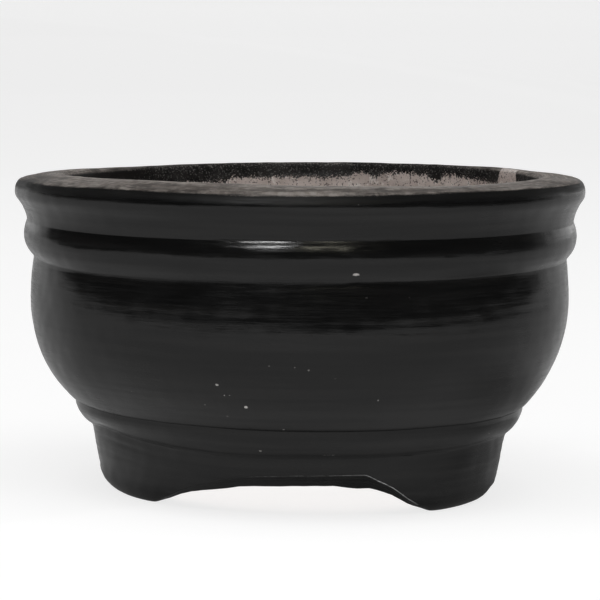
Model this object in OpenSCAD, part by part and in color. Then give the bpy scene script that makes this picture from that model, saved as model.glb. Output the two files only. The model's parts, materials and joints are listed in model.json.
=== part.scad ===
// Round footed bonsai pot: the rings, floor and feet that the body is made up of,
// each one its own solid, meeting face to face as the maker lutes them together.
// Millimetres, +Z up. The origin is on the ground under the middle of the pot, and
// the open arch that faces the viewer is on the -Y side.

/* [Body] */
// Diameter over the lip, the widest place on the pot
rim_d = 200; // [180:5:220]
// Height from the ground to the inner edge of the lip
pot_h = 110.4; // [106:0.1:118]
// Radial thickness of the lip at its top
lip_w = 15.8; // [13:0.1:18]

/* [Rings, from the top down] */
// Height of the flared lip, from its inner edge to the valley under it
lip_h = 15.5; // [14:0.1:17]
// Fall of the lip's top from its inner edge to its outer edge
lip_fall = 1.3; // [0.8:0.1:2.5]
// Height of the bead that belts the pot under the lip
bead_h = 13.4; // [11:0.1:15]
// How far the bead bulges beyond the line between its two creases
bead_bulge = 2.2; // [1:0.1:3]
// Height of the narrow roll between the bowl and the foot ring
step_h = 9.6; // [8:0.1:11]
// Height of the skirt that the feet are cut from
skirt_h = 20.4; // [18:0.1:22]

/* [Bowl] */
// Radius of the bowl inside at its straight upper part
bowl_r = 82; // [78:0.5:84]
// Height above the ground of the bowl's inside bottom
floor_top = 30; // [28:0.5:31]
// Radius of the flat part of the bowl's bottom
floor_flat_r = 58; // [54:1:60]
// Radius of the floor slab, out to its joint with the wall
slab_r = 64; // [62:0.5:65]
// Diameter of the drain hole through the floor
drain_d = 22; // [16:1:30]

/* [Feet and arches] */
// Height of each arch at the skirt's outside
arch_h = 13.8; // [12:0.1:14.5]
// Angle from an arch's middle to where its flat top ends
arch_top_angle = 20; // [18:1:24]
// Angle from an arch's middle to where it meets the ground
arch_foot_angle = 41; // [40:1:44]
// Slope of the knife cut, down towards the inside
arch_bevel = 17; // [10:1:22]
// Radial thickness of the skirt under the pot
skirt_w = 12.6; // [12:0.1:15]
// Rounding of the feet where they meet the ground
foot_round = 4; // [2:0.1:4.5]

/* [Hidden] */
$fn = 96;

// One foot for each of the three foot nodes, with an open arch between each two
feet = 3;

black_paint = [0.07, 0.07, 0.075];
bare_clay = [0.68, 0.63, 0.60];

// Heights of the joints between the rings
valley_z = pot_h - lip_h;
crease_z = valley_z - bead_h;
skirt_z = skirt_h;
step_z = skirt_z + step_h;

// Radii of the outline, counted in from the rim
rim_r = rim_d / 2;
shoulder_r = rim_r - 1.6;
lip_lower_r = rim_r - 0.5;
valley_r = rim_r - 4.1;
crease_r = rim_r - 6.5;
belly_r = rim_r - 5.5;
step_top_r = rim_r - 20.9;
skirt_top_r = rim_r - 27.2;
skirt_low_r = rim_r - 31.4;

// Heights of the outline's other places
lip_lower_z = pot_h - 7.6;
belly_z = step_z + 38;
straight_z = step_z + 34;
mouth_r = rim_r - lip_w;

// The bowl narrows a little down to here, and then turns in to the floor as a quarter
// ellipse, which the joint between wall and slab cuts at slab_angle
bowl_low_r = bowl_r - 1.5;
slab_angle = acos((slab_r - floor_flat_r) / (bowl_low_r - floor_flat_r));

// Points from a to b on the circular arc whose middle stands rise off the straight line,
// to the right of somebody who walks from a to b.
function arc(a, b, rise, steps = 8) =
    let (half = norm(b - a) / 2,
         along = (b - a) / (2 * half),
         side = [along.y, -along.x],
         radius = (half * half + rise * rise) / (2 * rise),
         centre = (a + b) / 2 + side * (rise - radius),
         sweep = asin(half / radius))
    [for (i = [0:steps])
        let (turn = sweep * (2 * i / steps - 1))
        centre + radius * (side * cos(turn) + along * sin(turn))];

// Points on the quarter ellipse that turns the bowl's wall into its floor. The angle runs
// from 0 at the straight wall to 90 at the flat floor.
function hollow(from, to, steps = 8) =
    [for (i = [0:steps])
        let (turn = from + (to - from) * i / steps)
        [floor_flat_r + (bowl_low_r - floor_flat_r) * cos(turn),
         straight_z - (straight_z - floor_top) * sin(turn)]];
// Radius of the bowl inside at a height on its straight upper part
function inside_r(z) =
    bowl_low_r + (bowl_r - bowl_low_r) * (z - straight_z) / (valley_z - straight_z);

// Radius of the skirt's outside at a height
function skirt_r(z) = skirt_low_r + (skirt_top_r - skirt_low_r) * z / skirt_z;

// A ring of the pot, turned from its section's outline
module ring(outline) {
    rotate_extrude() polygon(outline);
}

// The part of the ground between two angles from the arch in front, as an upright wedge
module wedge(from, to, height) {
    reach = 2 * rim_r;
    linear_extrude(height)
        polygon(concat([[0, 0]],
            [for (turn = [from, (from + to) / 2, to]) reach * [sin(turn), -cos(turn)]]));
}

// One half space of an arch's cutter: all that lies under a knife's plane, which passes
// through a point at the skirt's outside and drops inwards by the bevel
module under_knife(point, lean) {
    block = 2 * skirt_r(0);
    translate(point) rotate([-arch_bevel, 0, 0]) rotate([0, lean, 0])
        translate([-block / 2, -block / 6, -block]) cube([block, block, block]);
}

// An arch's cutter, for the arch in front: a flat cut above and a slanting cut at each side
module arch_cutter() {
    outside = skirt_r(arch_h);
    top = [0, -outside, arch_h];
    corner_x = outside * sin(arch_top_angle);
    ground_x = skirt_r(0) * sin(arch_foot_angle);
    lean = atan2(arch_h, ground_x - corner_x);
    intersection() {
        under_knife(top, 0);
        under_knife(top + [corner_x, 0, 0], lean);
        under_knife(top - [corner_x, 0, 0], -lean);
    }
}

// The skirt under the pot, with its arches cut and its lower edges rounded
module skirt() {
    low_r = skirt_r(foot_round);
    in_r = skirt_low_r - skirt_w;
    difference() {
        ring(concat(
            arc([skirt_low_r - foot_round, 0], [low_r, foot_round], foot_round * 0.35, 5),
            [[skirt_top_r, skirt_z], [in_r, skirt_z]],
            arc([in_r, foot_round], [in_r + foot_round, 0], foot_round * 0.35, 5)));
        for (i = [0:feet - 1]) rotate(i * 360 / feet) arch_cutter();
    }
}

// Where a foot is taken from the skirt: under the arches' height, between their flat tops
module foot_room(middle) {
    half = 180 / feet - arch_top_angle;
    translate([0, 0, -1]) wedge(middle - half, middle + half, arch_h + 1);
}

module foot(middle) {
    color(black_paint) intersection() {
        skirt();
        foot_room(middle);
    }
}

module foot_left() {
    foot(-180 / feet);
}

module foot_right() {
    foot(180 / feet);
}

module foot_back() {
    foot(180);
}

// The skirt's upper part, which carries the floor and joins the feet
module foot_ring() {
    color(black_paint) difference() {
        skirt();
        for (i = [0:feet - 1]) foot_room(180 / feet * (2 * i + 1));
    }
}

module step_band() {
    step_bulge = 1.2;
    color(black_paint) ring(concat(
        arc([skirt_top_r, skirt_z], [step_top_r, step_z], step_bulge, 6),
        [[slab_r, step_z], [slab_r, skirt_z]]));
}

// The bottom of the bowl, with its drain hole
module floor_slab() {
    color(bare_clay) difference() {
        ring(concat(
            [[0, skirt_z], [slab_r, skirt_z]],
            hollow(slab_angle, 90, 3),
            [[0, floor_top]]));
        translate([0, 0, skirt_z - 1]) cylinder(h = floor_top - skirt_z + 2, d = drain_d);
    }
}

module bowl_wall() {
    color(black_paint) ring(concat(
        arc([step_top_r, step_z], [belly_r, belly_z], 4.2, 10),
        arc([belly_r, belly_z], [crease_r, crease_z], 0.2, 3),
        [[inside_r(crease_z), crease_z]],
        hollow(0, slab_angle, 12),
        [[slab_r, step_z]]));
}

// The rounded belt under the lip
module bead_ring() {
    color(black_paint) ring(concat(
        arc([crease_r, crease_z], [valley_r, valley_z], bead_bulge, 10),
        [[inside_r(valley_z), valley_z], [inside_r(crease_z), crease_z]]));
}

// The flared lip: a hollow flare below, a rounded shoulder, and a top that falls outwards
module lip_ring() {
    mouth_round = 2;
    lip_bulge = 1.05;
    lip_crown = 0.3;
    shoulder = [shoulder_r, pot_h - lip_fall];
    top_edge = [mouth_r + mouth_round / 2, pot_h];
    color(black_paint) ring(concat(
        arc([valley_r, valley_z], [lip_lower_r, lip_lower_z], -0.6, 6),
        arc([lip_lower_r, lip_lower_z], shoulder, lip_bulge, 8),
        arc(shoulder, top_edge, lip_crown, 6),
        arc(top_edge, [mouth_r - mouth_round / 2, pot_h - mouth_round], 0.6, 5),
        [[inside_r(valley_z), valley_z]]));
}

lip_ring();
bead_ring();
bowl_wall();
step_band();
foot_ring();
floor_slab();
foot_left();
foot_right();
foot_back();
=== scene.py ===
"""Looks of a round footed bonsai pot: brushed black paint over bare pinkish-grey clay.

Each CAD node is replaced by one closed, finely divided mesh. All of them are turned from a single
outline, and one function bends the true pot into the hand-made one, so neighbours meet exactly.
Lengths are in millimetres until a mesh is made. Angles round the pot run from the front (-Y)
towards the right (+X), in radians unless the name says degrees."""

import json
import math

import bmesh
import bpy
import numpy as np
from mathutils import Matrix, Vector


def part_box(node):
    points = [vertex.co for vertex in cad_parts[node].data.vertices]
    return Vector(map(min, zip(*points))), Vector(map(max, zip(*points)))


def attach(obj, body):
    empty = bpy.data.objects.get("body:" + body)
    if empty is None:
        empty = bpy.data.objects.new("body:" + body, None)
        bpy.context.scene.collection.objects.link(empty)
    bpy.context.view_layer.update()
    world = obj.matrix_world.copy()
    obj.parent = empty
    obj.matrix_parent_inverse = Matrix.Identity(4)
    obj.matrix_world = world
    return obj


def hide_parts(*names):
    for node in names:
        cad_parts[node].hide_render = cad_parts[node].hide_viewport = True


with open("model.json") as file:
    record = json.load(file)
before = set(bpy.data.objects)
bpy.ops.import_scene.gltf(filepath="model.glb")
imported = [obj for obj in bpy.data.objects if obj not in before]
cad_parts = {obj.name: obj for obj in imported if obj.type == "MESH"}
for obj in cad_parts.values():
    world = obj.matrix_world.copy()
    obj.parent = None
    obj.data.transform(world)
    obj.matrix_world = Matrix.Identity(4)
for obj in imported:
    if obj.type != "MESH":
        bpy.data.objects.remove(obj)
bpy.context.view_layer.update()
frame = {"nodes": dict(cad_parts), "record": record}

MM = 0.001
TURN = 2 * math.pi


def top(node):
    """Height of a CAD node's highest point, in millimetres."""
    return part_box(node)[1].z / MM


def bottom(node):
    """Height of a CAD node's lowest point, in millimetres."""
    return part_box(node)[0].z / MM


# ---------------------------------------------------------------- sizes, from the frame
RIM_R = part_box("lip_ring")[1].x / MM
POT_H = top("lip_ring")
VALLEY_Z = bottom("lip_ring")
CREASE_Z = bottom("bead_ring")
STEP_Z = bottom("bowl_wall")
SKIRT_Z = bottom("step_band")
ARCH_H = top("foot_left")
SLAB_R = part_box("floor_slab")[1].x / MM
FOOT_COUNT = sum(name.startswith("foot_") for name in frame["nodes"]) - 1
DRAIN_R = frame["record"]["mounts"][0]["dims"]["r_mm"]
FLOOR_TOP = SKIRT_Z + frame["record"]["mounts"][0]["dims"]["length_mm"]

# Radii of the outline, counted in from the rim
SHOULDER_R = RIM_R - 1.6
LIP_LOWER_R = RIM_R - 0.5
VALLEY_R = RIM_R - 4.1
BELLY_R = RIM_R - 5.5
CREASE_R = RIM_R - 6.5
MOUTH_R = RIM_R - 15.8
STEP_TOP_R = RIM_R - 20.9
SKIRT_TOP_R = RIM_R - 27.2
SKIRT_LOW_R = RIM_R - 31.4
SKIRT_IN_R = SKIRT_LOW_R - 12.6
BOWL_R = RIM_R - 18
BOWL_LOW_R = BOWL_R - 1.5
FLOOR_FLAT_R = SLAB_R - 6

# Heights of the outline's other places
SHOULDER_Z = POT_H - 1.3
LIP_LOWER_Z = POT_H - 7.6
BELLY_Z = STEP_Z + 38
STRAIGHT_Z = STEP_Z + 34

# ---------------------------------------------------------------- the outline
# Spacing of the outline's points
FINE = 0.1
# How far the outline's corners are rounded, in general and near the skirt's top, and how near
CORNER_SPREAD, SKIRT_CORNER_SPREAD, SKIRT_CORNER_REACH = 0.4, 0.9, 3
# The narrow groove that is left between the bowl and the roll under it
GROOVE_DEPTH, GROOVE_REACH = 0.34, 0.8


def bell(away, reach):
    """1 at a place, falling off smoothly on both sides of it."""
    return np.exp(-((away / reach) ** 2))


def mix(a, b, share):
    """a where share is 0, b where it is 1, and in proportion between."""
    return a + (b - a) * share


def line(a, b):
    """Points from a to b, FINE apart."""
    steps = max(2, math.ceil(math.dist(a, b) / FINE))
    return np.linspace(a, b, steps + 1)


def arc(a, b, rise):
    """Points from a to b on the arc whose middle stands rise off the straight line, to the right
    of somebody who walks from a to b."""
    a, b = np.array(a, float), np.array(b, float)
    half = np.linalg.norm(b - a) / 2
    along = (b - a) / (2 * half)
    side = np.array([along[1], -along[0]])
    radius = (half**2 + rise**2) / (2 * rise)
    sweep = math.asin(half / radius)
    steps = math.ceil(2 * abs(radius * sweep) / FINE)
    turn = sweep * np.linspace(-1, 1, steps + 1)[:, None]
    return (a + b) / 2 + side * (rise - radius) + radius * (side * np.cos(turn) + along * np.sin(turn))


def hollow(start, end):
    """Points on the quarter ellipse between the bowl's wall (angle 0) and its floor (90 degrees)."""
    wide, tall = BOWL_LOW_R - FLOOR_FLAT_R, STRAIGHT_Z - FLOOR_TOP
    turn = np.linspace(start, end, math.ceil(abs(end - start) * tall / FINE) + 1)
    return np.stack([FLOOR_FLAT_R + wide * np.cos(turn), STRAIGHT_Z - tall * np.sin(turn)], 1)


def inside_r(z):
    """Radius of the bowl inside at a height on its straight upper part."""
    return BOWL_LOW_R + (BOWL_R - BOWL_LOW_R) * (z - STRAIGHT_Z) / (VALLEY_Z - STRAIGHT_Z)


def make_outline():
    """The pot's skin from the ground, up the outside, over the lip and down to the drain hole, as
    points with outward normals, and for each stretch of it the first and last point's number."""
    slab_turn = math.acos((SLAB_R - FLOOR_FLAT_R) / (BOWL_LOW_R - FLOOR_FLAT_R))
    lip_lower, shoulder = (LIP_LOWER_R, LIP_LOWER_Z), (SHOULDER_R, SHOULDER_Z)
    mouth_out, mouth_in = (MOUTH_R + 1, POT_H), (MOUTH_R - 1, POT_H - 2)
    stretches = {
        "skirt": [line((SKIRT_LOW_R, 0), (SKIRT_TOP_R, SKIRT_Z))],
        "step": [arc((SKIRT_TOP_R, SKIRT_Z), (STEP_TOP_R, STEP_Z), 1.2)],
        "belly": [
            arc((STEP_TOP_R, STEP_Z), (BELLY_R, BELLY_Z), 4.2),
            arc((BELLY_R, BELLY_Z), (CREASE_R, CREASE_Z), 0.2),
        ],
        "bead": [arc((CREASE_R, CREASE_Z), (VALLEY_R, VALLEY_Z), 2.2)],
        "lip": [
            arc((VALLEY_R, VALLEY_Z), lip_lower, -0.6),
            arc(lip_lower, shoulder, 1.05),
            arc(shoulder, mouth_out, 0.3),
            arc(mouth_out, mouth_in, 0.6),
            line(mouth_in, (inside_r(VALLEY_Z), VALLEY_Z)),
        ],
        "bead_inside": [line((inside_r(VALLEY_Z), VALLEY_Z), (inside_r(CREASE_Z), CREASE_Z))],
        "bowl_inside": [
            line((inside_r(CREASE_Z), CREASE_Z), (BOWL_LOW_R, STRAIGHT_Z)),
            hollow(0, slab_turn),
        ],
        "floor": [
            hollow(slab_turn, math.pi / 2),
            line((FLOOR_FLAT_R, FLOOR_TOP), (DRAIN_R + 1, FLOOR_TOP)),
            arc((DRAIN_R + 1, FLOOR_TOP), (DRAIN_R, FLOOR_TOP - 1), 0.25),
            line((DRAIN_R, FLOOR_TOP - 1), (DRAIN_R, SKIRT_Z)),
        ],
    }
    points, spans = [], {}
    for name, parts in stretches.items():
        begin = max(0, len(points) - 1)
        for part in parts:
            points += part.tolist()[1 if points else 0 :]
        spans[name] = (begin, len(points) - 1)
    points = np.array(points)
    sharp, soft = soften(points, CORNER_SPREAD), soften(points, SKIRT_CORNER_SPREAD)
    from_skirt = (np.arange(len(points)) - spans["step"][0]) * FINE
    return mix(sharp, soft, bell(from_skirt, SKIRT_CORNER_REACH)[:, None]), spans


def soften(points, spread):
    """Rounds every corner of a path of points FINE apart by averaging over about spread mm."""
    reach = math.ceil(3 * spread / FINE)
    weight = np.exp(-0.5 * (np.arange(-reach, reach + 1) * FINE / spread) ** 2)
    weight /= weight.sum()
    before = 2 * points[:1] - points[reach:0:-1]
    after = 2 * points[-1:] - points[-2 : -reach - 2 : -1]
    padded = np.concatenate([before, points, after])
    return np.stack([np.convolve(padded[:, k], weight, "valid") for k in (0, 1)], 1)


outline, spans = make_outline()
tangent = np.gradient(outline, axis=0)
tangent /= np.linalg.norm(tangent, axis=1)[:, None]
outward = np.stack([tangent[:, 1], -tangent[:, 0]], 1)

from_groove = (np.arange(len(outline)) - spans["belly"][0]) * FINE
outline -= outward * GROOVE_DEPTH * bell(from_groove, GROOVE_REACH)[:, None]


def rows(name, spacing):
    """Radius, height and outward normal of points along a stretch, about spacing mm apart."""
    first, last = spans[name]
    count = max(2, round((last - first) * FINE / spacing) + 1)
    pick = np.linspace(first, last, count).round().astype(int)
    return np.concatenate([outline[pick], outward[pick]], 1)


def seam(start, end, count):
    """Rows inside a joint between two pieces, from one row to another, without its two ends."""
    return mix(start, end, np.linspace(0, 1, count + 2)[1:-1, None])


# ---------------------------------------------------------------- the maker's hand
def ease(t):
    """0 below 0, 1 above 1, and smooth between."""
    t = np.clip(t, 0, 1)
    return t * t * (3 - 2 * t)


def ring_waves(seed, count, most_turns, shortest, longest):
    """A function of angle and height, about -1 to 1, made of random waves round and up the pot."""
    rng = np.random.default_rng(seed)
    turns = rng.integers(0, most_turns + 1, count)
    pace = TURN / rng.uniform(shortest, longest, count) * rng.choice([-1, 1], count)
    start = rng.uniform(0, TURN, count)

    def value(angle, height):
        total = 0
        for n, k, s in zip(turns, pace, start, strict=True):
            total = total + np.cos(n * angle + k * height + s)
        return total / math.sqrt(2 * count)

    return value


def space_waves(seed, count, shortest, longest):
    """The same kind of function of a place in space, with no direction favoured."""
    rng = np.random.default_rng(seed)
    way = rng.normal(size=(count, 3))
    way /= np.linalg.norm(way, axis=1)[:, None]
    way *= (TURN / rng.uniform(shortest, longest, count))[:, None]
    start = rng.uniform(0, TURN, count)

    def value(x, y, z):
        total = 0
        for k, s in zip(way, start, strict=True):
            total = total + np.cos(k[0] * x + k[1] * y + k[2] * z + s)
        return total / math.sqrt(2 * count)

    return value


def round_the_pot(angle, stops):
    """A value that changes smoothly round the pot, from (angle in degrees, value) pairs."""
    places, values = np.array(stops, float).T
    reach, whole = 18, np.arange(-180, 180)
    weight = np.exp(-0.5 * (np.arange(-reach, reach + 1) / 6) ** 2)
    straight = np.pad(np.interp(whole, places, values), reach, "wrap")
    smooth = np.convolve(straight, weight / weight.sum(), "valid")
    return np.interp(np.degrees(angle), whole, smooth, period=360)


dents = space_waves(11, 30, 28, 70)
lumps = space_waves(12, 40, 6, 16)
ridges = ring_waves(13, 36, 5, 1.8, 4.5)
sagging = ring_waves(14, 5, 4, 120, 400)

# Heights of these waves in mm, the body's lean on its feet, and how much higher than the true rim
# its middle is and its front is above that
DENT, LUMP, RIDGE, SAG = 0.28, 0.05, 0.028, 0.35
LEAN = math.radians(1.1)
RIM_LIFT, RIM_TILT = 0.5, 1.35
# Below this height nothing rises with the roll, so that the feet stand on the ground
FOOT_Z = 7
# How far these changes reach, in mm: the bumps set in over this height above the ground, the rises
# set in between these distances outwards from the skirt's inside, and the rises of the groove and
# of the bead's lower edge and the tool's mark fade out this far away
GROUND_FADE, OUTSIDE_START, OUTSIDE_FULL = 4, 3, 9
GROOVE_RISE_REACH, CREASE_RISE_REACH, TOOL_REACH = 25, 6, 0.8
# The radius counts too in where a ridge runs, so that ridges cross level faces and upright ones
RIDGE_SLANT = 0.37

# What the maker's hand changed, in mm, at angles in degrees from the front. First how much higher
# the mouth's inner edge, the shoulder and the bead's lower edge are.
MOUTH_RISE = [
    (-180, 0.3), (-150, 0.1), (-123, -0.4), (-90, -0.2), (-57, 1.0), (-25, 0.8), (0, 0.2),
    (30, -0.5), (57, -0.8), (90, 0.0), (123, 1.0), (150, 0.8), (180, 0.3),
]  # fmt: skip
SHOULDER_RISE = [(-180, 0), (-125, -0.4), (-92, -0.9), (-70, -0.6), (-45, 0), (180, 0)]
CREASE_RISE = [
    (-180, 0), (-120, 0.4), (-90, 0.9), (-60, 0.3), (-40, 0), (40, 0), (60, 0.3), (90, 0.9),
    (120, 0.4), (180, 0),
]  # fmt: skip
# How much higher the groove over the roll is, and the roll's lower edge
GROOVE_RISE = [(-180, 0), (-130, 0.8), (-90, 2.0), (-45, 1.4), (-20, 1.0), (0, 0), (180, 0)]
ROLL_RISE = [
    (-180, 0), (-120, 0), (-90, 1.2), (-68, 4.6), (-47, 2.7), (-30, 1.1), (-10, 0), (35, 0),
    (60, 1.0), (90, -0.4), (120, 0), (180, 0),
]  # fmt: skip
# How deep a tool was pressed in under the roll, and how far in the feet's lower edges are rounded
ROLL_GROOVE = [
    (-180, 0), (-90, 0.1), (-75, 0.3), (-50, 0.2), (-25, 0), (40, 0), (60, 0.1), (90, 0), (180, 0),
]  # fmt: skip
FOOT_ROUNDING = [
    (-180, 4.5), (-120, 5.8), (-90, 6.2), (-72, 5.2), (-57, 3.6), (38, 3.5), (50, 4.3), (62, 5.5),
    (90, 6.3), (120, 5.5), (180, 4.5),
]  # fmt: skip


def between(z, low, middle, high):
    """0 at the heights low and high, 1 at the middle one, and smooth between."""
    return np.where(z > middle, ease((high - z) / (high - middle)), ease((z - low) / (middle - low)))


def hand_made(r, z, angle, out_r, out_z, rough=1.0):
    """Places in space, in mm, of points of the true pot as the maker's hand left them. The body
    leans to the left on its feet, and the rim's front stands a little higher than its back."""
    x, y = r * np.sin(angle), -r * np.cos(angle)
    along = z + RIDGE_SLANT * r
    bump = DENT * dents(x, y, z) + rough * (LUMP * lumps(x, y, z) + RIDGE * ridges(angle, along))
    # Bumps fade out towards the ground, so that the feet's undersides are flat
    bump = bump * ease((z + 0.01) / GROUND_FADE)
    bump = bump - round_the_pot(angle, ROLL_GROOVE) * bell(z - SKIRT_Z, TOOL_REACH)
    outside = ease((r - SKIRT_IN_R - OUTSIDE_START) / (OUTSIDE_FULL - OUTSIDE_START))
    groove_top = STEP_Z + GROOVE_RISE_REACH
    moved = round_the_pot(angle, GROOVE_RISE) * between(z, SKIRT_Z, STEP_Z, groove_top)
    moved = moved + round_the_pot(angle, ROLL_RISE) * between(z, FOOT_Z, SKIRT_Z, STEP_Z)
    moved = moved + round_the_pot(angle, CREASE_RISE) * bell(z - CREASE_Z, CREASE_RISE_REACH)
    r, height = r + bump * out_r, z + bump * out_z + outside * moved
    above_ground = ease(z / SKIRT_Z)
    above_valley = ease((z - VALLEY_Z) / (SHOULDER_Z - VALLEY_Z))
    height = height + SAG * sagging(angle, 0.0 * z) * above_ground
    to_mouth = np.clip((SHOULDER_R - r) / (SHOULDER_R - MOUTH_R), 0, 1)
    rise = RIM_LIFT + RIM_TILT * np.cos(angle) + round_the_pot(angle, MOUTH_RISE) * to_mouth
    rise = rise + round_the_pot(angle, SHOULDER_RISE) * (1 - to_mouth)
    height = height + rise * above_valley
    x, y = r * np.sin(angle), -r * np.cos(angle)
    lean = LEAN * above_ground
    return np.stack([x - lean * z, y, height + lean * x], -1)


# ---------------------------------------------------------------- meshes
COLUMNS = 840
ANGLES = np.linspace(-math.pi, math.pi, COLUMNS + 1)[:, None]
# Rows inside a joint between two pieces, in the one between the roll and the skirt, and across the
# floor's underside
SEAM_ROWS, ROLL_SEAM_ROWS, UNDERSIDE_ROWS = 6, 4, 34
# The paint's values far inside the painted area and far outside it
PAINTED, BARE = 10.0, -10.0
# Points nearer than this are joined, in metres, and edges sharper than this angle stay sharp
WELD = 0.002 * MM
SHARP_ANGLE = math.radians(48)
scene = bpy.context.scene


def mesh_object(name, points, paint, wear):
    """A mesh from a grid of points in mm, whose columns go round the pot and whose rows close on
    themselves. The paint value says how far inside the painted area a point is, in mm, and the other
    value how worn or dull its paint is, and where a highlight is painted on in the light worn colour."""
    columns, count = points.shape[:2]
    closed = np.allclose(points[0], points[-1])
    if closed:
        points, paint, wear = points[:-1], paint[:-1], wear[:-1]
        columns -= 1
    i = np.arange(columns if closed else columns - 1)[:, None]
    j = np.arange(count)[None, :]
    i_next, j_next = (i + 1) % columns, (j + 1) % count
    here, across = i * count, i_next * count
    quads = np.stack([here + j, across + j, across + j_next, here + j_next], -1)
    mesh = bpy.data.meshes.new(name)
    mesh.from_pydata((points.reshape(-1, 3) * MM).tolist(), [], quads.reshape(-1, 4).tolist())
    for label, values in (("paint_depth", paint), ("wear", wear)):
        layer = mesh.attributes.new(label, "FLOAT", "POINT")
        layer.data.foreach_set("value", values.astype(np.float32).ravel())
    piece = bpy.data.objects.new(name, mesh)
    scene.collection.objects.link(piece)
    return piece


def weld(piece):
    """Joins points that coincide, drops what that flattens, and closes open ends."""
    work = bmesh.new()
    work.from_mesh(piece.data)
    bmesh.ops.remove_doubles(work, verts=work.verts, dist=WELD)
    bmesh.ops.dissolve_degenerate(work, edges=work.edges, dist=WELD)
    rims = [edge for edge in work.edges if edge.is_boundary]
    filled = bmesh.ops.holes_fill(work, edges=rims, sides=0)["faces"] if rims else []
    bmesh.ops.triangulate(work, faces=filled)
    bmesh.ops.recalc_face_normals(work, faces=work.faces)
    work.to_mesh(piece.data)
    work.free()


def finish_piece(piece, node, material):
    """Shading, material, and the piece's place in the frame."""
    piece.data.polygons.foreach_set("use_smooth", [True] * len(piece.data.polygons))
    piece.data.set_sharp_from_angle(angle=SHARP_ANGLE)
    piece.data.materials.append(material)
    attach(piece, "root")
    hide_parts(node)


# Where the paint ends inside the bowl: its depth under the mouth's edge, in mm, at angles in
# degrees from the front. It is ragged, and one place on the right was missed altogether.
PAINT_STOPS = [
    (-180, 5.5), (-163, 5.5), (-160, 7.0), (-140, 7.2), (-132, 12), (-60, 9), (0, 7), (60, 8),
    (104, 9), (110.5, 8.5), (112.4, -3), (119, -3), (120.5, 5.8), (133.5, 4.8), (136, 4.0),
    (140.5, 4.0), (141.5, 5.6), (145, 5.6), (146, 4.0), (158.5, 4.0), (160, 6.0), (161, 6.0),
    (162, 4.0), (166, 4.0), (167.5, 5.5), (180, 5.5),
]  # fmt: skip


def paint_inside(z, angle):
    """How far above the end of the paint a place inside the bowl is, in mm."""
    degrees = np.degrees((angle + math.pi) % TURN - math.pi)
    places, depths = np.array(PAINT_STOPS).T
    return z - (POT_H - np.interp(degrees, places, depths))


def turned_piece(name, outer, upper_seam, inner, lower_seam):
    """A ring of the pot, from rows of its section: up the outside, in along the upper joint, down
    the inside and out along the lower joint."""
    section = np.concatenate([outer, upper_seam, inner, lower_seam])
    r, z, out_r, out_z = (section[None, :, k] for k in range(4))
    points = hand_made(r, z, ANGLES, out_r, out_z)
    paint = np.full(points.shape[:2], PAINTED)
    first_inner = len(outer) + len(upper_seam)
    inside = r[0] < MOUTH_R + 1 if name == "lip_ring" else np.arange(len(section)) >= first_inner
    paint[:, inside] = paint_inside(z[:, inside], ANGLES)
    wear = lip_wear(r, z, ANGLES)
    return mesh_object(name, points, np.clip(paint, BARE, PAINTED), wear)


# Wear of the lip: how far under the shoulder it starts, over what height it sets in, how much lower its
# light colour reaches in front, where it is partly a painted highlight of the window on the shoulder,
# and over what height below that the paint turns from dull to shiny
WEAR_DROP, WEAR_FADE, FRONT_WEAR_AND_HIGHLIGHT_DROP, DULL_DROP = 0.6, 0.6, 1.0, 3
# How far round the front that is, in radians, and how far inside the mouth's edge wear sets in
FRONT_REACH, MOUTH_FADE = 0.35, 2
# Share of the wear that the back has, share that is missing along the outer edge, and share that
# is missing at that edge's left end, whose place and reach are in degrees
BACK_WEAR, OUTER_PAINT, LEFT_PAINT = 0.25, 0.35, 0.8
LEFT_END, LEFT_END_REACH = -73, 9


def lip_wear(r, z, angle):
    """How the lip's paint has aged: up to 1 where it is worn through, 0 where it is dull, and down to
    -1 where it still shines. In front the light worn colour reaches a little further down, partly as a
    painted highlight where the window glints on the shoulder, and the back and the left end are worn
    much less."""
    edge = SHOULDER_Z - WEAR_DROP - FRONT_WEAR_AND_HIGHLIGHT_DROP * bell(angle, FRONT_REACH)
    across = np.clip((r - MOUTH_R) / (SHOULDER_R - MOUTH_R), 0, 1)
    worn_and_highlit = ease((z - edge) / WEAR_FADE) * (1 - OUTER_PAINT * across)
    worn_and_highlit = worn_and_highlit * ease((r - MOUTH_R + MOUTH_FADE) / MOUTH_FADE)
    worn_and_highlit = worn_and_highlit * mix(BACK_WEAR, 1, ease((np.cos(angle) + 0.80) / 0.5))
    worn_and_highlit = worn_and_highlit * (1 - LEFT_PAINT * across * bell(np.degrees(angle) - LEFT_END, LEFT_END_REACH))
    return np.where(z > edge, worn_and_highlit, np.maximum((z - edge) / DULL_DROP, -1))


def joint(a, b):
    """Rows of the joint between the ends of two runs of rows."""
    return seam(a[-1], b[0], SEAM_ROWS)


def make_rings(material):
    """The turned rings: lip, bead, bowl wall and step band."""
    lip = rows("lip", 0.6)
    bead, bead_inside = rows("bead", 0.6), rows("bead_inside", 1.0)
    belly, bowl_inside = rows("belly", 0.8), rows("bowl_inside", 1.3)
    step = rows("step", 0.6)
    slab_side = np.array([[SLAB_R, STEP_Z, -1, 0]])
    slab_foot = np.array([[SLAB_R, SKIRT_Z, -1, 0]])
    around_slab = np.concatenate([slab_side, slab_foot])
    under_roll = seam(slab_foot[0], step[0], ROLL_SEAM_ROWS)
    under_bowl = np.concatenate([slab_side, joint(slab_side, belly)])
    none = lip[:0]
    sections = {
        "lip_ring": (lip, none, none, joint(lip, lip)),
        "bead_ring": (bead, joint(bead, bead_inside), bead_inside, joint(bead_inside, bead)),
        "bowl_wall": (belly, joint(belly, bowl_inside), bowl_inside, under_bowl),
        "step_band": (step, joint(step, slab_side), around_slab, under_roll),
    }
    for name, section in sections.items():
        finish_piece(turned_piece(name, *section), name, material)


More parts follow.
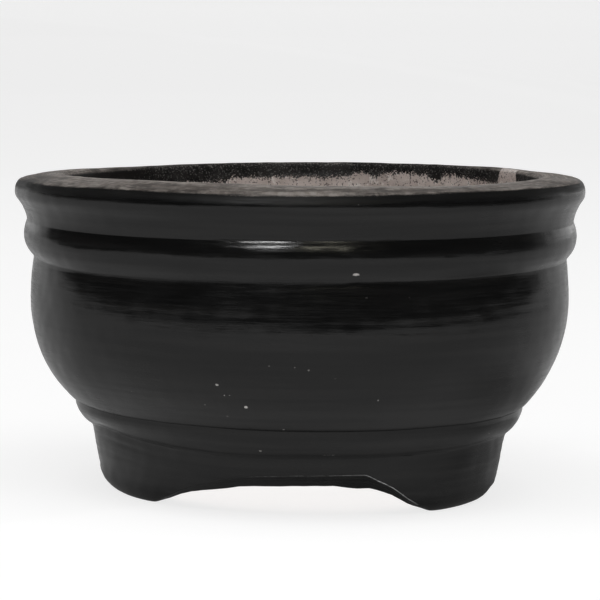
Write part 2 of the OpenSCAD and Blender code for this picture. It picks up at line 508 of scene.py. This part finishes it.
def make_floor(material):
    """The floor slab with its drain hole. Its top is the bowl's bottom, and all of it is bare."""
    floor = rows("floor", 1.3)
    under = seam(floor[-1], np.array([SLAB_R, SKIRT_Z, 0, -1]), UNDERSIDE_ROWS)
    under[:, 2:] = (0, -1)
    side = np.array([[SLAB_R, SKIRT_Z, 1, 0], [SLAB_R, STEP_Z, 1, 0]])
    section = np.concatenate([floor, under, side])
    r, z, out_r, out_z = (section[None, :, k] for k in range(4))
    points = hand_made(r, z, ANGLES, out_r, out_z)
    paint = np.full(points.shape[:2], BARE)
    piece = mesh_object("floor_slab", points, paint, np.zeros_like(paint))
    finish_piece(piece, "floor_slab", material)


# ---------------------------------------------------------------- skirt, arches and feet
ARCH_STEP = TURN / FOOT_COUNT
# Over an arch the foot ring is left whole this far to each side of its middle
ARCH_TOP_TURN = math.radians(20)
# The radius at which the arches' cut edges are drawn
SKIRT_OUT_R = RIM_R - 28.9
# An arch's cut edge at the skirt's outside: distance from the arch's middle and height there, and
# how steeply the cut falls towards the inside. The left flank of each is cut flatter.
ARCH_CUT = [
    (-60, -6, 0.20), (-52, -0.8, 0.20), (-49, 0.8, 0.20), (-46.5, 2.4, 0.21), (-43, 4.7, 0.22),
    (-40, 6.6, 0.24), (-36.5, 8.3, 0.26), (-33, 9.4, 0.28), (-29, 10.5, 0.31), (-25, 11.6, 0.33),
    (-20, 12.7, 0.34), (-15, 13.3, 0.35), (-10, 13.6, 0.36), (0, 13.9, 0.36), (12, 14.0, 0.37),
    (20, 14.0, 0.43), (22.5, 13.9, 0.42), (24, 13.3, 0.38), (26.4, 12.1, 0.34), (29, 10.9, 0.31),
    (31.7, 9.5, 0.28), (34.5, 7.5, 0.26), (37, 5.6, 0.24), (41, 3.2, 0.21), (45, 0.8, 0.19),
    (50, -2, 0.19), (60, -6, 0.19),
]  # fmt: skip
# A painted highlight along each arch's outer edge, where the edge catches the light: how strong it is,
# at angles in degrees from the arch's middle
ARCH_EDGE_HIGHLIGHT = [(-26, 0.3), (-20, 0.55), (-8, 0.66), (10, 0.70), (17, 0.78), (21, 1.0), (38, 0.95)]
# The painted highlight line: how far over the edge it runs, and how wide it is
HIGHLIGHT_OVER, HIGHLIGHT_WIDE = 0.4, 0.2
# The lower edges' rounding along an arch, and on a foot how high it is outside and how far in it
# goes inside
ARCH_ROUNDING, FOOT_ROUND_TALL, FOOT_ROUND_IN = 0.6, 9.0, 3.0
# How far the paint goes up the skirt's inside
PAINT_UNDER = 2.5
# A height well under the ground, and how softly a cut runs out at the ground
NO_CUT_Z, CUT_END_SOFTNESS = -9.0, 0.8
# Rows of the skirt's section: round each lower edge, across the underside, up the outside, in along
# the joint above and down the inside
EDGE_ROWS, BOTTOM_ROWS, OUTSIDE_ROWS, TOP_ROWS, INSIDE_ROWS = 10, 16, 24, 8, 12


def skirt_bottom(r, angle):
    """Height of the skirt's underside: the highest arch cut there, or the ground, with a soft
    corner where the two meet."""
    places, heights, slopes = np.array(ARCH_CUT).T
    height = np.zeros(np.broadcast(r, angle).shape)
    for i in range(FOOT_COUNT):
        off = (angle - i * ARCH_STEP + math.pi) % TURN - math.pi
        aside = r * np.sin(off)
        depth = np.sqrt(np.maximum(SKIRT_OUT_R**2 - aside**2, 0)) - r * np.cos(off)
        here = np.interp(aside, places, heights) - np.interp(aside, places, slopes) * depth
        here = np.where(np.abs(off) < math.pi / 3, here, NO_CUT_Z)
        height = np.maximum(height, 0.5 * (here + np.sqrt(here**2 + CUT_END_SOFTNESS)))
    return height


def round_the_arch(angle):
    """How strong the painted highlight along an arch's outer edge is: most on its right flank."""
    off = (angle + ARCH_STEP / 2) % ARCH_STEP - ARCH_STEP / 2
    places, shares = np.array(ARCH_EDGE_HIGHLIGHT).T
    return np.interp(np.degrees(off), places, shares)


def outer_r(z):
    """Radius of the skirt's outside at a height, and the normal there."""
    first, last = spans["skirt"]
    path, normals = outline[first : last + 1], outward[first : last + 1]
    return [np.interp(z, path[:, 1], values) for values in (path[:, 0], normals[:, 0], normals[:, 1])]


def skirt_section(angle):
    """The skirt's section at each angle, as grids of radius, height and normal, from the inside
    edge along the bottom, up the outside, in along the joint above and down the inside."""
    edge = skirt_bottom(SKIRT_LOW_R + 1, angle)
    footness = ease(1 - edge / 5)
    wide = mix(ARCH_ROUNDING, round_the_pot(angle, FOOT_ROUNDING), footness)
    tall = mix(ARCH_ROUNDING, FOOT_ROUND_TALL, footness)
    round_in = mix(ARCH_ROUNDING, FOOT_ROUND_IN, footness)
    turn = np.linspace(math.pi / 2, 0, EDGE_ROWS)[None, :]
    across = np.linspace(0, 1, BOTTOM_ROWS)[None, 1:-1]
    up = np.linspace(0, 1, OUTSIDE_ROWS)[None, 1:]
    along_seam = np.linspace(0, 1, TOP_ROWS)[None, 1:]
    down = np.linspace(0, 1, INSIDE_ROWS)[None, 1:-1]

    inner_r = SKIRT_IN_R + round_in * (1 - np.cos(turn[:, ::-1]))
    inner_z = skirt_bottom(inner_r, angle) + round_in * (1 - np.sin(turn[:, ::-1]))
    corner_r = outer_r(edge + tall)[0] - wide * (1 - np.cos(turn))
    corner_z = skirt_bottom(corner_r, angle) + tall * (1 - np.sin(turn))
    flat_r = mix(inner_r[:, -1:], corner_r[:, :1], across)
    flat_z = skirt_bottom(flat_r, angle)
    top_z = outline[spans["skirt"][1], 1]
    wall_z = mix(corner_z[:, -1:], top_z, up)
    wall_r, wall_out_r, wall_out_z = outer_r(wall_z)
    seam_r = mix(wall_r[:, -1:], SKIRT_IN_R, along_seam)
    seam_z = mix(np.full_like(seam_r, top_z), SKIRT_Z, along_seam)
    inside_z = mix(SKIRT_Z, inner_z[:, :1], down)

    def flat(like, value):
        return np.full_like(like, value)

    r = np.concatenate([inner_r, flat_r, corner_r, wall_r, seam_r, flat(inside_z, SKIRT_IN_R)], 1)
    z = np.concatenate([inner_z, flat_z, corner_z, wall_z, seam_z, inside_z], 1)
    cos, sin = (np.broadcast_to(f(turn), corner_r.shape) for f in (np.cos, np.sin))
    out_r = [-cos[:, ::-1], flat(flat_r, 0), cos, wall_out_r, flat(seam_r, 0), flat(inside_z, -1)]
    out_z = [-sin[:, ::-1], flat(flat_r, -1), -sin, wall_out_z, flat(seam_r, 0), flat(inside_z, 0)]
    out_r, out_z = np.concatenate(out_r, 1), np.concatenate(out_z, 1)
    inner_rows = np.zeros(r.shape[1], bool)
    inner_rows[: inner_r.shape[1]] = True
    inner_rows[-inside_z.shape[1] :] = True
    # Wear values of the skirt: shiny paint everywhere, with a painted highlight line along the arches'
    # outer edges
    rubbed_and_highlit = np.full_like(r, -1.0)
    first = inner_r.shape[1] + flat_r.shape[1]
    on_arch = ease((0.8 - footness) / 0.5) * round_the_arch(angle)
    over_edge = (1 - sin) * tall
    corner = slice(first, first + cos.shape[1])
    rubbed_and_highlit[:, corner] += 2 * on_arch * bell(over_edge - HIGHLIGHT_OVER, HIGHLIGHT_WIDE)
    return r, z, out_r, out_z, inner_rows, rubbed_and_highlit


# What is kept of the skirt at an angle
WHOLE, UPPER, LOWER = 0, 1, -1


def skirt_piece(name, angle, keep):
    """Part of the skirt over a run of angles, cut level with the arches' tops. At each angle keep
    says what stays: WHOLE, UPPER for what lies above the feet, or LOWER for a foot."""
    r, z, out_r, out_z, inner_rows, rubbed_and_highlit = skirt_section(angle)
    below = z < ARCH_H
    moved = np.where(keep == UPPER, below, np.where(keep == LOWER, ~below, False))
    wall = r > outer_r(z)[0] - 0.02
    cut_r, cut_out_r, cut_out_z = outer_r(np.full_like(z, ARCH_H))
    r = np.where(moved, np.where(wall, cut_r, np.minimum(r, cut_r)), r)
    out_r = np.where(moved, np.where(wall, cut_out_r, np.where(inner_rows, -1, 0)), out_r)
    out_z = np.where(moved, np.where(wall, cut_out_z, 0), out_z)
    z = np.where(moved, ARCH_H, z)
    points = hand_made(r, z, angle, out_r, out_z, 1.6)
    edge = skirt_bottom(SKIRT_IN_R, angle)
    paint = np.where(inner_rows[None, :] & (r < SKIRT_IN_R + 1.5), edge + PAINT_UNDER - z, PAINTED)
    return mesh_object(name, points, np.clip(paint, BARE, PAINTED), rubbed_and_highlit)


# About how far apart the skirt's columns are
COLUMN_SPACING = 0.55
FOOT_MIDDLES = {"foot_left": -ARCH_STEP / 2, "foot_right": ARCH_STEP / 2, "foot_back": math.pi}


def spread(start, end):
    """Angles from start to end that are about COLUMN_SPACING apart on the skirt."""
    return np.linspace(start, end, round((end - start) * SKIRT_LOW_R / COLUMN_SPACING) + 1)


def make_skirt(material):
    """The foot ring, whose underside the arches cut, and the feet below it."""
    angle, keep = [], []
    for i in range(FOOT_COUNT):
        middle = i * ARCH_STEP
        arch = spread(middle - ARCH_TOP_TURN, middle + ARCH_TOP_TURN)
        foot = spread(middle + ARCH_TOP_TURN, middle + ARCH_STEP - ARCH_TOP_TURN)
        angle += [arch, foot]
        keep += [np.full_like(arch, WHOLE), np.full_like(foot, UPPER)]
    angle.append(angle[0][:1] + TURN)
    keep.append(keep[0][:1])
    ring = skirt_piece("foot_ring", np.concatenate(angle)[:, None], np.concatenate(keep)[:, None])
    weld(ring)
    finish_piece(ring, "foot_ring", material)
    half = ARCH_STEP / 2 - ARCH_TOP_TURN
    for name, middle in FOOT_MIDDLES.items():
        angle = spread(middle - half, middle + half)[:, None]
        foot = skirt_piece(name, angle, np.full_like(angle, LOWER))
        weld(foot)
        finish_piece(foot, name, material)


# ---------------------------------------------------------------- materials
class Graph:
    """The node tree of a material or world, built with short calls."""

    def __init__(self, owner):
        owner.use_nodes = True
        self.owner = owner
        self.tree = owner.node_tree
        self.tree.nodes.clear()

    def node(self, kind, inputs=None, **settings):
        made = self.tree.nodes.new(kind)
        for key, value in settings.items():
            setattr(made, key, value)
        for key, value in (inputs or {}).items():
            self.put(made.inputs[key], value)
        return made

    def put(self, socket, value):
        if isinstance(value, bpy.types.NodeSocket):
            self.tree.links.new(value, socket)
        else:
            socket.default_value = value

    def end(self, shader, kind="Material"):
        """Leads a shader to the output, and gives back the finished material or world."""
        out = self.node(f"ShaderNodeOutput{kind}")
        self.tree.links.new(shader.outputs[0], out.inputs[0])
        return self.owner

    def math(self, operation, *values):
        made = self.node("ShaderNodeMath", dict(enumerate(values)), operation=operation)
        return made.outputs[0]

    def times(self, a, b):
        return self.math("MULTIPLY", a, b)

    def plus(self, a, factor, base):
        """The base plus a times the factor."""
        return self.math("MULTIPLY_ADD", a, factor, base)

    def sway(self, pattern, size, base):
        """The base, moved up and down by a pattern that goes from 0 to 1."""
        return self.plus(self.math("SUBTRACT", pattern, 0.5), size, base)

    def either(self, a, b):
        """The larger of two masks."""
        return self.math("MAXIMUM", a, b)

    def place(self, kind="Object"):
        return self.node("ShaderNodeTexCoord").outputs[kind]

    def axes(self, place):
        return self.node("ShaderNodeSeparateXYZ", {0: place}).outputs

    def stretch(self, vector, scale):
        return self.node("ShaderNodeMapping", {"Vector": vector, "Scale": scale}).outputs[0]

    def brush_way(self, place):
        """The place with its distance from the axis added to its height, so that a pattern
        that is stretched across it runs round the pot on upright and level faces alike."""
        x, y, z = self.axes(place)
        across = self.math("SQRT", self.plus(x, x, self.times(y, y)))
        along = self.plus(across, 0.8, z)
        return self.node("ShaderNodeCombineXYZ", {0: x, 1: y, 2: along}).outputs[0]

    def noise(self, vector, scale, detail=3.0, rough=0.5):
        made = self.node(
            "ShaderNodeTexNoise",
            {"Vector": vector, "Scale": scale, "Detail": detail, "Roughness": rough},
        )
        return made.outputs["Fac"]

    def span(self, value, low, high, to_low=0.0, to_high=1.0):
        """Maps low..high to to_low..to_high with soft ends, and holds it there beyond them."""
        made = self.node(
            "ShaderNodeMapRange",
            {"Value": value, "From Min": low, "From Max": high, "To Min": to_low, "To Max": to_high},
            interpolation_type="SMOOTHSTEP",
        )
        return made.outputs[0]

    def blend(self, share, a, b):
        made = self.node("ShaderNodeMix", data_type="RGBA")
        for socket, value in ((made.inputs[0], share), (made.inputs[6], a), (made.inputs[7], b)):
            self.put(socket, value)
        return made.outputs[2]

    def attribute(self, name):
        return self.node("ShaderNodeAttribute", attribute_name=name).outputs["Fac"]


def grey(value, warm=0.0):
    """A grey, or one with a little more red and less blue in it."""
    return (value * (1 + warm), value, value * (1 - warm), 1.0)


# Bare clay from dark to light and its pale and dark grains, and clay with some paint rubbed into it,
# whose light colour low on the lip's front is partly a painted highlight
CLAY, LIGHT_CLAY = (0.58, 0.50, 0.46, 1), (0.80, 0.72, 0.68, 1)
PALE_GRAIN, DARK_GRAIN = (0.95, 0.91, 0.87, 1), (0.06, 0.045, 0.04, 1)
RUBBED_CLAY, LIGHT_RUBBED_CLAY = (0.30, 0.255, 0.225, 1), (0.62, 0.56, 0.51, 1)


def clay_look(graph, place):
    """Bare clay: colour, and relief in mm."""
    cloud = graph.noise(place, 90, 4, 0.6)
    grain = graph.noise(place, 900, 3, 0.6)
    dark = graph.span(graph.noise(place, 1250, 2, 0.5), 0.57, 0.65)
    pale = graph.span(graph.noise(place, 480, 2, 0.5), 0.58, 0.70)
    colour = graph.blend(graph.span(cloud, 0.3, 0.7), CLAY, LIGHT_CLAY)
    colour = graph.blend(graph.times(pale, 0.75), colour, PALE_GRAIN)
    colour = graph.blend(graph.times(dark, 0.75), colour, DARK_GRAIN)
    relief = graph.plus(grain, 0.16, graph.times(dark, -0.12))
    return colour, relief


def dots(graph, place, scale, radius, share, seed):
    """Round dots of a radius in mm, in a share of the cells of a 3-D pattern."""
    shift = (seed, seed * 0.7, seed * 0.3)
    moved = graph.node("ShaderNodeVectorMath", {0: place, 1: shift}, operation="ADD")
    cells = graph.node("ShaderNodeTexVoronoi", {"Vector": moved.outputs[0], "Scale": scale})
    picked = graph.node("ShaderNodeSeparateColor", {"Color": cells.outputs["Color"]}).outputs[0]
    reach = radius * MM * scale
    near = graph.span(cells.outputs["Distance"], reach * 0.7, reach, 1.0, 0.0)
    return graph.times(near, graph.math("LESS_THAN", picked, share))


# Chips and scuffs that can be made out: angle in degrees, height and radius in mm, how many times
# wider than tall, whiteness. The paint has room for a few more nodes only: with 35 chips it turns
# all black.
CHIPS = [
    (11.1, 84.0, 0.60, 2.1, 1.0), (-17.2, 46.8, 0.48, 1.6, 0.75), (-14.8, 43.2, 0.36, 1.0, 0.5),
    (-15.9, 43.0, 0.34, 1.0, 0.5), (-11.5, 39.0, 0.60, 1.2, 1.0), (-6.0, 53.8, 0.28, 1.6, 0.2),
    (-0.8, 53.5, 0.24, 1.4, 0.2), (2.0, 52.5, 0.30, 1.0, 0.3), (7.6, 49.5, 0.30, 1.8, 0.25),
    (14.0, 47.5, 0.28, 1.0, 0.2), (17.4, 41.5, 0.42, 1.0, 0.5), (13.5, 76.3, 0.16, 4.0, 0.12),
    (22.4, 76.0, 0.15, 5.0, 0.12), (57.5, 24.6, 0.30, 1.0, 0.5), (-20.9, 39.0, 0.34, 1.2, 0.22),
    (-16.1, 35.2, 0.34, 1.6, 0.22), (-9.5, 23.2, 0.36, 1.4, 0.30), (-3.5, 31.0, 0.30, 1.2, 0.28),
    (8.5, 21.8, 0.20, 14.0, 0.12), (96.0, 61.0, 0.40, 1.6, 0.6), (131.0, 47.0, 0.55, 1.3, 0.7),
    (164.0, 72.0, 0.45, 1.8, 0.6), (-171.0, 55.0, 0.36, 1.2, 0.6), (-128.0, 64.0, 0.50, 1.9, 0.7),
    (-97.0, 44.0, 0.36, 1.0, 0.5),
]  # fmt: skip


def skin_r(z):
    """Radius of the pot's outside at a height, on the true pot."""
    last = spans["lip"][0] + round((LIP_LOWER_Z - VALLEY_Z) / FINE)
    return float(np.interp(z, outline[:last, 1], outline[:last, 0]))


def chip_mask(graph, place):
    """The single chips, each a small ragged spot, as one mask of their whiteness."""
    ragged = graph.plus(graph.noise(place, 1500, 2), 0.5 * MM, -0.25 * MM)
    mask = None
    for degrees, z, radius, wide, white in CHIPS:
        r, turn = skin_r(z), math.radians(degrees)
        spot = hand_made(r, np.float64(z), turn, 0.0, 0.0, 0.0) * MM
        where = {"Location": spot.tolist(), "Rotation": (0, 0, turn), "Scale": (wide, 1, 1)}
        local = graph.node("ShaderNodeMapping", {"Vector": place, **where}, vector_type="TEXTURE")
        away = graph.node("ShaderNodeVectorMath", {0: local.outputs[0]}, operation="LENGTH")
        ragged_away = graph.math("ADD", away.outputs["Value"], ragged)
        one = graph.span(ragged_away, radius * 0.7 * MM, radius * 1.1 * MM, white, 0.0)
        mask = one if mask is None else graph.either(mask, one)
    return mask


def black_over_clay():
    """Black paint brushed round the pot over clay. The paint_depth attribute says where it is, a
    noise makes its border ragged, and worn places on the lip let the clay through."""
    graph = Graph(bpy.data.materials.new("black_over_clay"))
    place = graph.place()
    brushed = graph.brush_way(place)
    streaks = graph.noise(graph.stretch(brushed, (90, 90, 1900)), 1.0, 4, 0.6)
    bands = graph.noise(graph.stretch(brushed, (18, 18, 360)), 1.0, 3, 0.5)
    cloud = graph.noise(place, 45, 3, 0.5)
    fine = graph.noise(place, 800, 3, 0.65)
    stipple = graph.noise(place, 1500, 2, 0.6)
    blotches = graph.plus(graph.noise(place, 150, 3, 0.6), 0.7, graph.times(fine, 0.3))
    mottle = graph.plus(graph.noise(place, 380, 3, 0.6), 0.6, graph.times(bands, 0.4))

    # Where the clay is bare: within the bowl, where the lip is worn, and in chips
    depth = graph.attribute("paint_depth")
    within = graph.span(depth, 5.5, 9.5, 1.0, 0.0)
    ragged_depth = graph.sway(graph.noise(place, 260, 2, 0.5), 3.0, depth)
    ragged_depth = graph.sway(stipple, 7.0, ragged_depth)
    bare = graph.span(ragged_depth, -0.3, 0.3, 1.0, 0.0)
    # What turns the paint light: worn lip paint, partly a painted highlight low on the lip's front, and
    # the painted highlight line along the arches' edges
    wear = graph.attribute("wear")
    dull = graph.span(wear, -1.0, -0.35)
    worn_and_highlit = graph.times(graph.either(wear, 0.0), graph.span(streaks, 0.38, 0.60, 0.35, 1.0))
    worn_and_highlit = graph.times(worn_and_highlit, graph.span(graph.sway(stipple, 1.2, wear), 0.12, 0.35))
    worn_and_highlit = graph.times(worn_and_highlit, graph.span(blotches, 0.38, 0.49, 0.5, 1.0))
    flecks = dots(graph, place, 150, 0.21, 0.08, 0.31)
    chips = graph.either(chip_mask(graph, place), graph.times(flecks, 0.34))
    pits = graph.either(dots(graph, place, 90, 0.45, 0.05, 1.7), dots(graph, place, 60, 0.7, 0.03, 2.9))

    # Colour: glossy black outside, dusty black with pale specks within, and rubbed clay. On the arches'
    # edges, low on the pot, a plain pale line is painted as a highlight where the edges catch the
    # light.
    clay_colour, clay_relief = clay_look(graph, place)
    paint = graph.blend(graph.span(bands, 0.35, 0.7), grey(0.0045), grey(0.0085, 0.03))
    dusty = graph.blend(graph.span(blotches, 0.40, 0.62), grey(0.006), grey(0.025, 0.02))
    specks = graph.times(graph.span(stipple, 0.56, 0.66), 0.6)
    dusty = graph.blend(specks, dusty, grey(0.20, 0.03))
    paint = graph.blend(within, paint, dusty)
    rubbed_and_highlit = graph.blend(graph.span(mottle, 0.38, 0.62), RUBBED_CLAY, LIGHT_RUBBED_CLAY)
    # Low on the pot the light colour is plain pale grey: the painted highlight on the arches' edges
    high = graph.span(graph.axes(place)[2], 0.02, 0.05)
    rubbed_and_highlit = graph.blend(high, grey(0.60), rubbed_and_highlit)
    paint = graph.blend(graph.times(worn_and_highlit, 0.85), paint, rubbed_and_highlit)
    paint = graph.blend(chips, paint, grey(0.42, 0.04))
    colour = graph.blend(bare, paint, clay_colour)

    paint_rough = graph.plus(graph.span(streaks, 0.3, 0.75), 0.14, 0.11)
    paint_rough = graph.plus(graph.span(cloud, 0.4, 0.75), 0.08, paint_rough)
    paint_rough = graph.plus(within, 0.25, paint_rough)
    paint_rough = graph.plus(dull, 0.34, paint_rough)
    rough = graph.either(graph.times(graph.either(bare, chips), 0.85), paint_rough)

    relief = graph.times(streaks, 0.024)
    for pattern, depth_mm in ((bands, 0.065), (fine, 0.028), (pits, -0.12), (chips, -0.08)):
        relief = graph.plus(pattern, depth_mm, relief)
    clay_part = graph.times(bare, graph.math("SUBTRACT", clay_relief, 0.2))
    relief = graph.plus(graph.math("SUBTRACT", 1.0, bare), relief, clay_part)
    return shade(graph, colour, rough, relief, 1.37)


def bare_clay():
    """The same clay with no paint on it."""
    graph = Graph(bpy.data.materials.new("bare_clay"))
    place = graph.place()
    colour, relief = clay_look(graph, place)
    rough = graph.span(graph.noise(place, 300), 0.3, 0.7, 0.8, 0.95)
    return shade(graph, colour, rough, relief, 1.45)


def shade(graph, colour, rough, relief, ior):
    """Ends a material: relief in mm becomes bump, and the rest goes to one shader."""
    bump = graph.node("ShaderNodeBump", {"Height": relief, "Distance": MM, "Strength": 1.0})
    look = {"Base Color": colour, "Roughness": rough, "Normal": bump.outputs[0], "IOR": ior}
    return graph.end(graph.node("ShaderNodeBsdfPrincipled", look))


# ---------------------------------------------------------------- stage, light and camera
# How far the ground runs out from the pot, in metres
GROUND = 30.0


def ground_sheet(name):
    """A level square round the pot, with nothing on it yet."""
    corners = [(-GROUND, -GROUND, 0), (GROUND, -GROUND, 0), (GROUND, GROUND, 0), (-GROUND, GROUND, 0)]
    mesh = bpy.data.meshes.new(name)
    mesh.from_pydata(corners, [], [(0, 1, 2, 3)])
    sheet = bpy.data.objects.new(name, mesh)
    scene.collection.objects.link(sheet)
    return sheet


def make_stage():
    """A pale floor that runs out to the horizon."""
    floor = ground_sheet("floor_plane")
    graph = Graph(bpy.data.materials.new("pale_floor"))
    look = {"Base Color": grey(0.3), "Roughness": 1.0}
    look |= {"Emission Color": grey(1.0), "Emission Strength": 0.78}
    floor.data.materials.append(graph.end(graph.node("ShaderNodeBsdfPrincipled", look)))


def make_world():
    """A pale backdrop behind the pot, and a dim room in front and above."""
    world = bpy.data.worlds.new("studio")
    scene.world = world
    graph = Graph(world)
    x, y, z = graph.axes(graph.place("Generated"))
    behind = graph.span(graph.plus(x, 0.12, y), 0.42, 0.92)
    low = graph.span(z, 0.14, 0.42, 1.0, 0.06)
    light = graph.plus(graph.times(behind, low), 0.85, 0.03)
    seen = graph.node("ShaderNodeLightPath").outputs["Is Camera Ray"]
    colour = graph.blend(seen, light, grey(1.0))
    graph.end(graph.node("ShaderNodeBackground", {"Color": colour, "Strength": 1.0}), "World")


def make_reflected_table():
    """The table top as the glaze mirrors it: a card just over the floor that only reflections see.
    It is brighter further in front of the pot, shaded close beside and behind it and more so on
    the right, dark under it, and dark again where the table ends in front and at the sides."""
    card = ground_sheet("reflected_table")
    card.location.z = 0.0003
    graph = Graph(bpy.data.materials.new("reflected_table"))
    place = graph.place()
    x, y, _ = graph.axes(place)
    ahead = graph.plus(y, -1.0, graph.times(x, -0.15))
    away = graph.node("ShaderNodeVectorMath", {0: place}, operation="LENGTH").outputs["Value"]
    light = graph.span(ahead, -0.10, 0.45, 0.50, 0.93)
    beside = graph.span(ahead, 0.0, 0.08, -1.0, 0.0)
    shaded = graph.times(beside, graph.span(x, -0.06, 0.06, 0.25, 0.56))
    near_change = graph.math("ADD", shaded, graph.span(ahead, 0.03, 0.09, 0.0, 0.10))
    near = graph.span(away, 0.12, 0.20, 1.0, 0.0)
    light = graph.times(light, graph.plus(near, near_change, 1.0))
    light = graph.times(light, graph.span(away, 0.055, 0.092, 0.06, 1.0))
    # How far out a place is, which counts for more in front of the pot and for less behind it
    reach = graph.plus(y, -0.8, away)
    reach = graph.plus(graph.either(y, 0.0), -0.6, reach)
    light = graph.times(light, graph.span(reach, 0.88, 1.22, 1.0, 0.05))
    shader = graph.node("ShaderNodeEmission", {"Color": grey(1.0), "Strength": light})
    card.data.materials.append(graph.end(shader))
    card.visible_camera = card.visible_diffuse = card.visible_shadow = False


def area_light(name, place, target, width, depth, power, colour=(1, 1, 1)):
    """A rectangular lamp that faces its target; everything in metres, and the power in watts."""
    light = bpy.data.lights.new(name, "AREA")
    light.shape, light.size, light.size_y = "RECTANGLE", width, depth
    light.energy, light.color = power, colour
    lamp = bpy.data.objects.new(name, light)
    lamp.location = place
    lamp.rotation_euler = (Vector(target) - Vector(place)).to_track_quat("-Z", "Y").to_euler()
    scene.collection.objects.link(lamp)
    return lamp


# How far away the windows stand and what they shine at, in metres
WINDOW_AWAY, BEAD_HEIGHT = 1.9, 0.09


def window(name, turn, rise, wide, tall, power, colour):
    """A window's glint: how far it is turned to the right and how high it stands, in degrees, its
    size in metres, its power and its colour. Only reflections show it."""
    turn, rise = math.radians(turn), math.radians(rise)
    flat, up = WINDOW_AWAY * math.cos(rise), WINDOW_AWAY * math.sin(rise)
    place = (flat * math.sin(turn), -flat * math.cos(turn), up + BEAD_HEIGHT)
    lamp = area_light(name, place, (0, 0, BEAD_HEIGHT), wide, tall, power, colour)
    lamp.visible_diffuse = False


def make_lights():
    """A large soft box overhead and in front, and two windows that glint on the bead."""
    overhead = area_light("overhead_soft_box", (0.0, -0.45, 1.7), (0, 0, 0.05), 2.2, 1.6, 23)
    overhead.visible_glossy = False
    window("window_high", -15.8, 26.3, 0.54, 0.12, 9.3, (1, 1, 1))
    window("window_low", 10.5, 21.3, 0.62, 0.10, 2.1, (1, 0.96, 0.78))


def make_camera():
    """The viewing angle of the reference: level in front, a little above the rim, far away."""
    distance, height, aside = 1.16, 0.183, -0.0012
    pitch, roll = math.radians(5.75), math.radians(0.42) + LEAN
    camera = bpy.data.cameras.new("camera")
    camera.lens, camera.sensor_width = 198, 36
    camera.clip_end = 100
    view = bpy.data.objects.new("camera", camera)
    turn = Matrix.Rotation(math.pi / 2 - pitch, 4, "X") @ Matrix.Rotation(roll, 4, "Z")
    view.matrix_world = Matrix.Translation((aside, -distance, height)) @ turn
    scene.collection.objects.link(view)
    scene.camera = view
    scene.view_settings.view_transform = "Standard"


make_camera()
make_stage()
make_world()
make_lights()
make_reflected_table()
painted = black_over_clay()
make_rings(painted)
make_floor(bare_clay())
make_skirt(painted)
